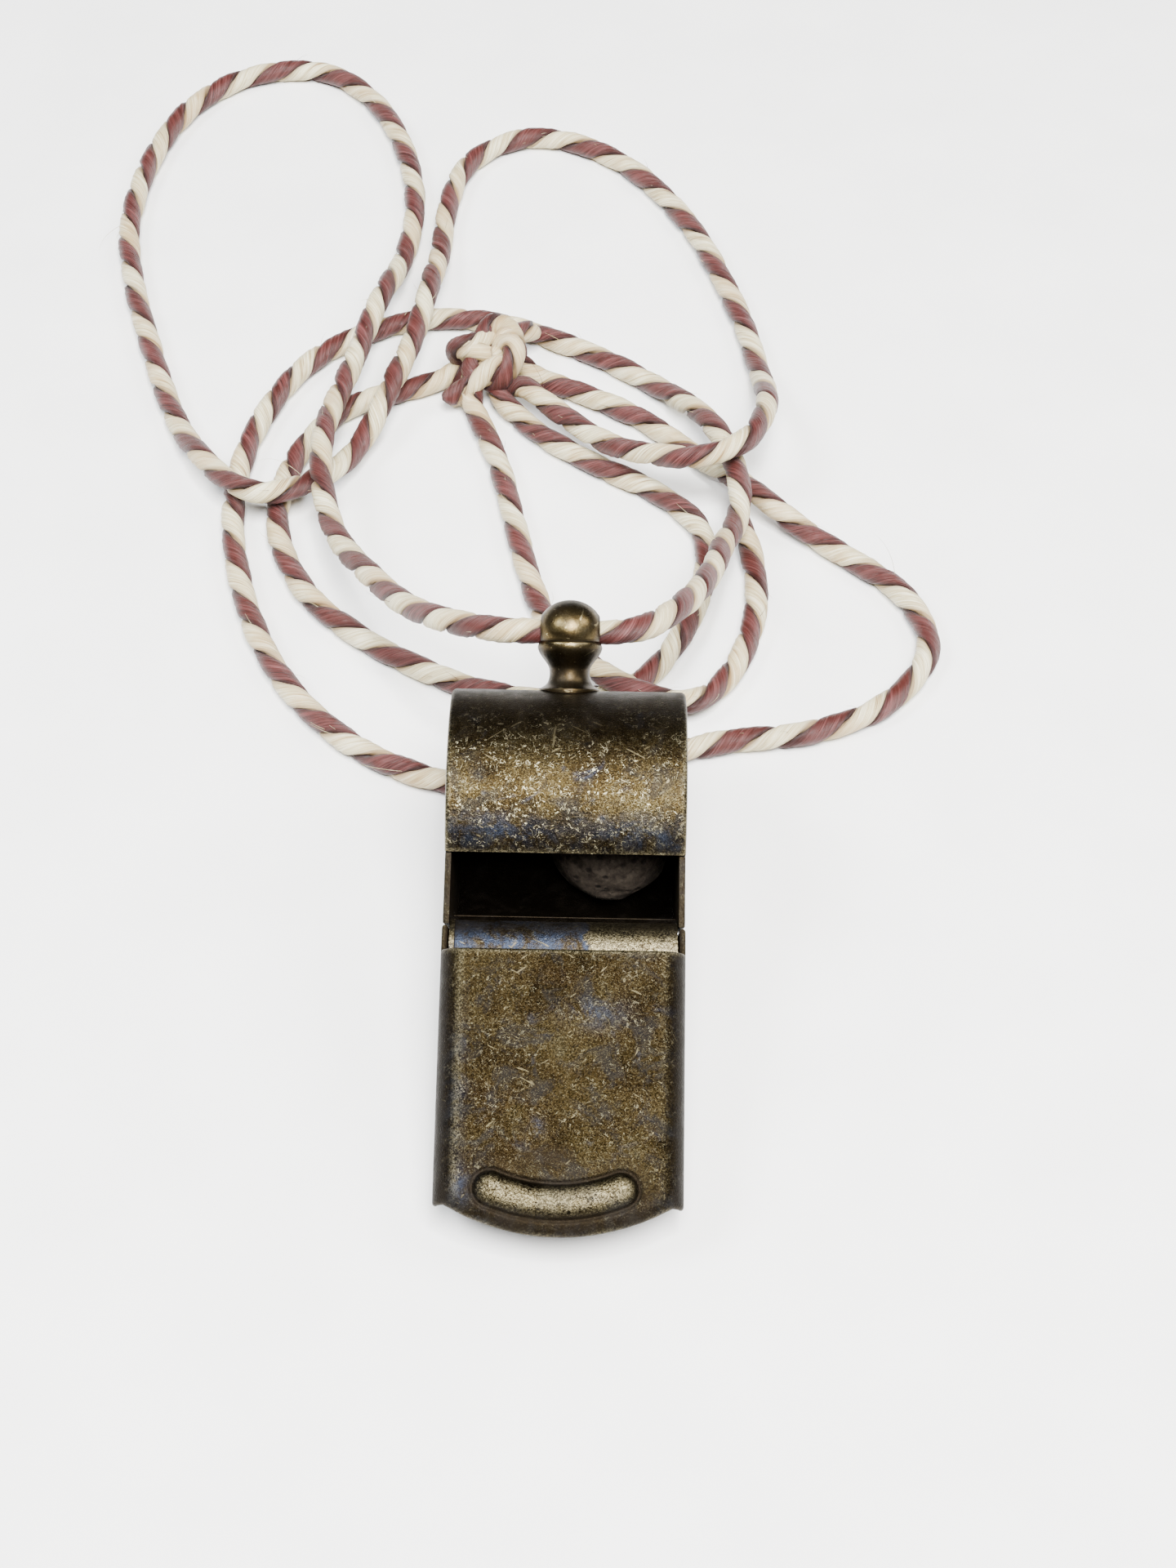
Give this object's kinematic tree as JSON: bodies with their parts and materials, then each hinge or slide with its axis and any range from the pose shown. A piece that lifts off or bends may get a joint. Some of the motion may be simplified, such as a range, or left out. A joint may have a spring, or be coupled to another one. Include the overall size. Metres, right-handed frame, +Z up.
{
  "type": "pea whistle",
  "caption": "Brass pea whistle with a flat mouthpiece, a drum barrel holding a loose cork pea, a turned ball post and a twisted two-colour cord lanyard.",
  "frame": {"origin": "middle of the whistle's footprint on the surface it lies on, lanyard left out", "axes": "+Z up, +X across the whistle to the right, +Y from the mouthpiece to the ball post"},
  "size_m": [0.0839, 0.1525, 0.0223],
  "materials": {
    "barrel_brass": "aged, dark patina",
    "cheek_brass": "aged, dark patina",
    "mouthpiece_brass": "aged, scratched",
    "windway_brass": "tarnished",
    "post_brass": "turned, glossy",
    "cork": "raw cork",
    "lanyard_cord": "twisted two-ply, cream and dusty red"
  },
  "bodies": {
    "whistle": {"barrel_wrap": "barrel_brass", "cheek_left": "cheek_brass", "cheek_right": "cheek_brass", "mouthpiece_cover": "mouthpiece_brass", "mouthpiece_base": "mouthpiece_brass", "windway_floor": "windway_brass", "loop_post": "post_brass", "lanyard_left": "lanyard_cord", "lanyard_right": "lanyard_cord", "lanyard_ring": "lanyard_cord", "lanyard_tail": "lanyard_cord", "lanyard_knot": "lanyard_cord"},
    "pea": {"cork_pea": "cork"}
  },
  "joints": [
    {"name": "pea_orbit", "type": "hinge", "parent": "whistle", "child": "pea", "pos_m": [0, 0.01197, 0.00994], "axis": [1, 0, 0], "continuous": true}
  ]
}
